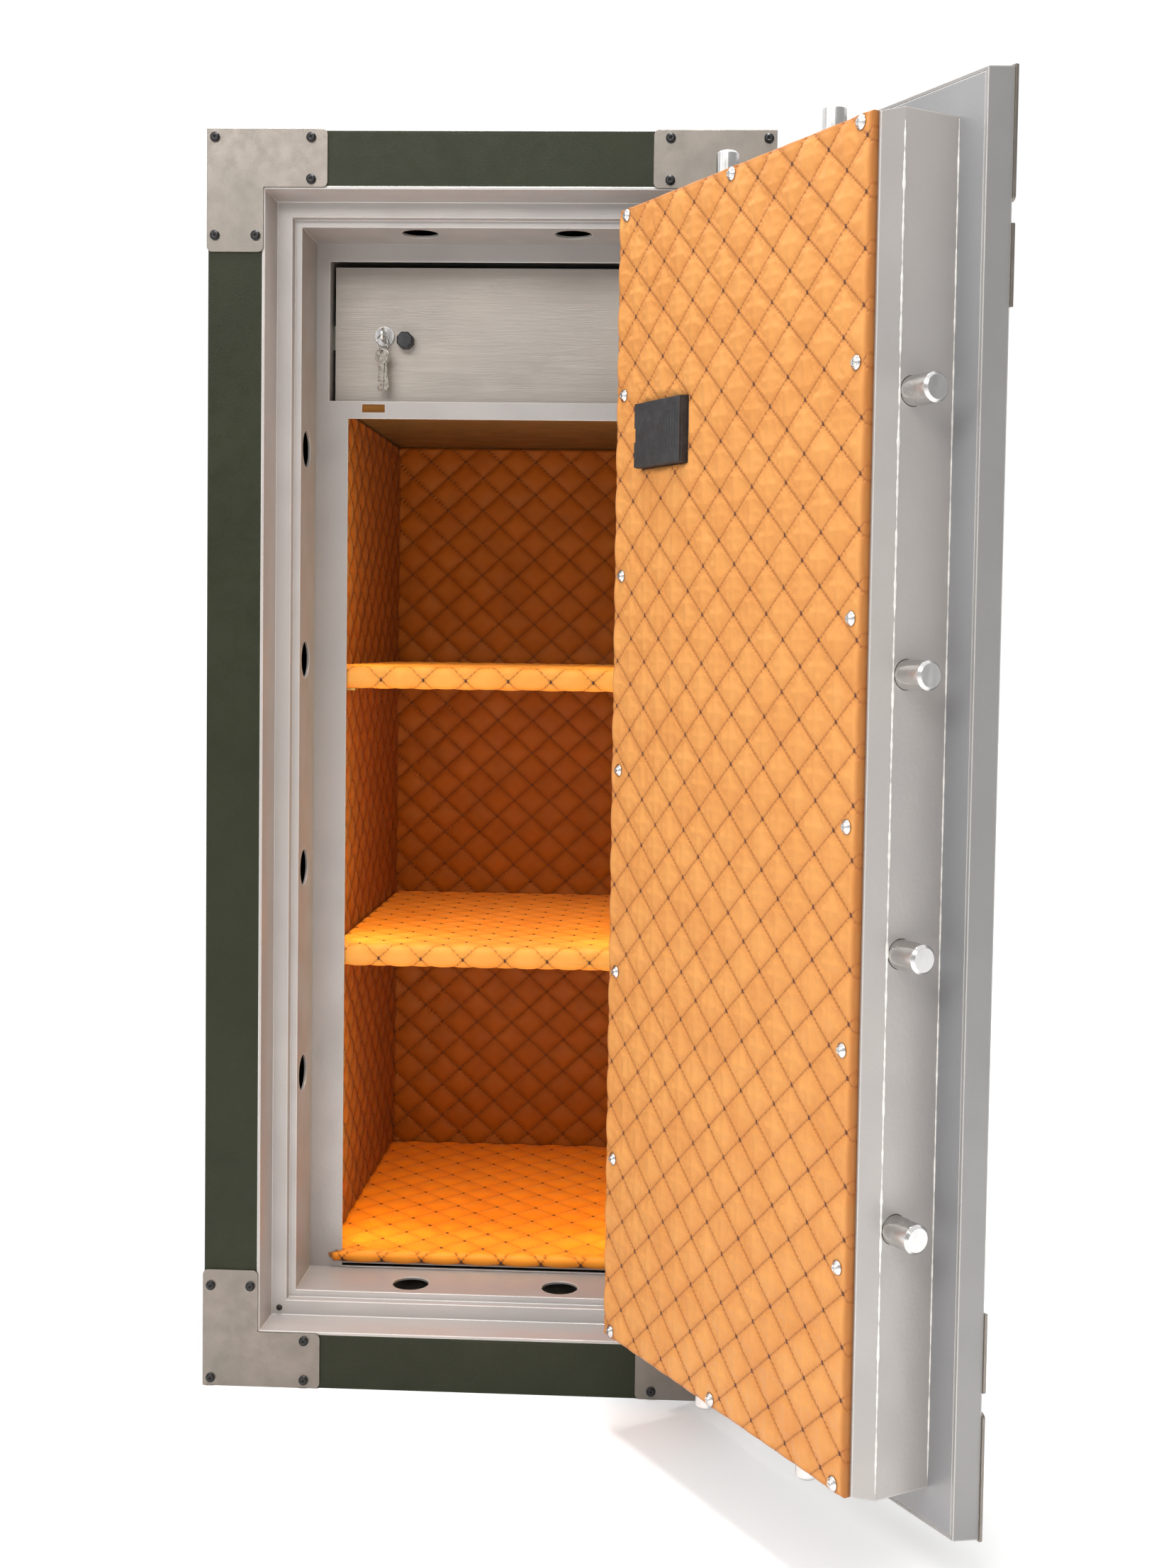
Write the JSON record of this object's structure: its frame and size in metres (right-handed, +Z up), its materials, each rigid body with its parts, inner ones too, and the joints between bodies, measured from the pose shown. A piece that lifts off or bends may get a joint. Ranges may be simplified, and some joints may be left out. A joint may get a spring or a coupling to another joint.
{
  "type": "gun safe",
  "caption": "Upright steel gun safe with a swinging door, retracting round bolts turned by a spoked handle, quilted lining, shelves and a keyed lockbox.",
  "frame": {"origin": "centre of the body's underside", "axes": "+X to the right seen from the front, +Y from the front into the safe, +Z up"},
  "size_m": [0.8045, 1.1222, 1.4],
  "materials": {
    "body_paint": "fine texture, dark olive green",
    "hammered_paint": "glossy hammered silver grey",
    "brushed_plate": "satin",
    "black_screws": "black oxide",
    "fire_board": "matt board",
    "leatherette": "orange tan, quilted",
    "shelf_wood": "raw board",
    "bright_steel": "polished",
    "zinc_steel": "zinc plated",
    "lockbox_steel": "brushed, scratched",
    "black_plastic": "satin black",
    "led_cover": "lit, warm",
    "keypad_glass": "gloss black",
    "key_brass": "worn nickel on brass",
    "battery_wrap": "gloss"
  },
  "bodies": {
    "safe_body": {"side_plate_left": "body_paint", "side_plate_right": "body_paint", "top_plate": "body_paint", "back_plate": "body_paint", "floor_plate": "body_paint", "front_frame": "body_paint", "insulation_boards": "fire_board", "door_jamb": "hammered_paint", "cavity_face": "hammered_paint", "inner_shell": "hammered_paint", "corner_plates": "brushed_plate", "body_screws": "black_screws", "side_pads": "leatherette", "pad_back": "leatherette", "pad_floor": "leatherette", "shelf_boards": "shelf_wood", "shelf_covers": "leatherette", "shelf_brackets": "zinc_steel", "lockbox_floor": "hammered_paint", "lockbox_fixings": "zinc_steel", "led_strips": "led_cover", "hinge_frame_leaves": "body_paint", "hinge_pins": "zinc_steel"},
    "door": {"door_front_pan": "body_paint", "door_back_plate": "hammered_paint", "door_insulation": "fire_board", "spindle_bush": "key_brass", "door_box": "hammered_paint", "bolt_guides": "zinc_steel", "liner_board": "shelf_wood", "liner_pad": "leatherette", "liner_screws": "bright_steel", "battery_box": "black_plastic", "batteries": "battery_wrap", "door_trim_plates": "brushed_plate", "door_plate_screws": "black_screws", "hinge_door_leaves": "body_paint", "lock_case": "zinc_steel", "keypad_housing": "bright_steel", "keypad_panel": "keypad_glass"},
    "handle": {"drive_pinion": "zinc_steel", "handle_hub": "bright_steel", "handle_spokes": "bright_steel"},
    "side_boltwork": {"side_bolts": "bright_steel", "side_bolt_bar": "zinc_steel"},
    "top_boltwork": {"top_bolts": "bright_steel", "top_bolt_bar": "zinc_steel"},
    "bottom_boltwork": {"bottom_bolts": "bright_steel", "bottom_bolt_bar": "zinc_steel"},
    "lock_tongue": {"lock_bolt": "key_brass"},
    "battery_cover": {"battery_lid": "black_plastic"},
    "inner_door": {"lockbox_door": "lockbox_steel", "lockbox_knob": "black_plastic", "lock_cylinder": "bright_steel"},
    "plug": {"lock_plug": "bright_steel", "lock_cam": "zinc_steel", "key_in_lock": "key_brass"},
    "keys": {"key_ring": "bright_steel", "spare_keys": "key_brass"}
  },
  "joints": [
    {"name": "door_hinge", "type": "hinge", "parent": "safe_body", "child": "door", "pos_m": [0.2415, -0.3392, 0.7], "axis": [0, 0, 1], "range_deg": [-122.1, 12.8]},
    {"name": "handle_turn", "type": "hinge", "parent": "door", "child": "handle", "pos_m": [0.40604, -0.62258, 0.68], "axis": [-0.8471, -0.5314, 0], "range_deg": [0, 72]},
    {"name": "side_bolt_slide", "type": "slide", "parent": "door", "child": "side_boltwork", "axis": [-0.5314, 0.8471, 0], "range_m": [0, 0.03272]},
    {"name": "top_bolt_slide", "type": "slide", "parent": "door", "child": "top_boltwork", "axis": [0, 0, -1], "range_m": [0, 0.03272]},
    {"name": "bottom_bolt_slide", "type": "slide", "parent": "door", "child": "bottom_boltwork", "axis": [0, 0, 1], "range_m": [0, 0.03272]},
    {"name": "lock_bolt_slide", "type": "slide", "parent": "door", "child": "lock_tongue", "axis": [0, 0, 1], "range_m": [-0.012, 0]},
    {"name": "battery_lid_slide", "type": "slide", "parent": "door", "child": "battery_cover", "axis": [-0.5314, 0.8471, 0], "range_m": [0, 0.05]},
    {"name": "lockbox_hinge", "type": "hinge", "parent": "safe_body", "child": "inner_door", "pos_m": [0.192, -0.181, 1.2], "axis": [0, 0, 1], "range_deg": [0, 68]},
    {"name": "key_turn", "type": "hinge", "parent": "inner_door", "child": "plug", "pos_m": [-0.138, -0.187, 1.2], "axis": [0, -1, 0], "range_deg": [-60, 0]},
    {"name": "key_ring_swing", "type": "hinge", "parent": "plug", "child": "keys", "pos_m": [-0.138, -0.202, 1.2], "axis": [-1, 0, 0], "range_deg": [-6, 70]}
  ],
  "couplings": [
    {"joint": "side_bolt_slide", "follows": "handle_turn", "m_per_rad": 0.026},
    {"joint": "top_bolt_slide", "follows": "handle_turn", "m_per_rad": 0.026},
    {"joint": "bottom_bolt_slide", "follows": "handle_turn", "m_per_rad": 0.026}
  ]
}
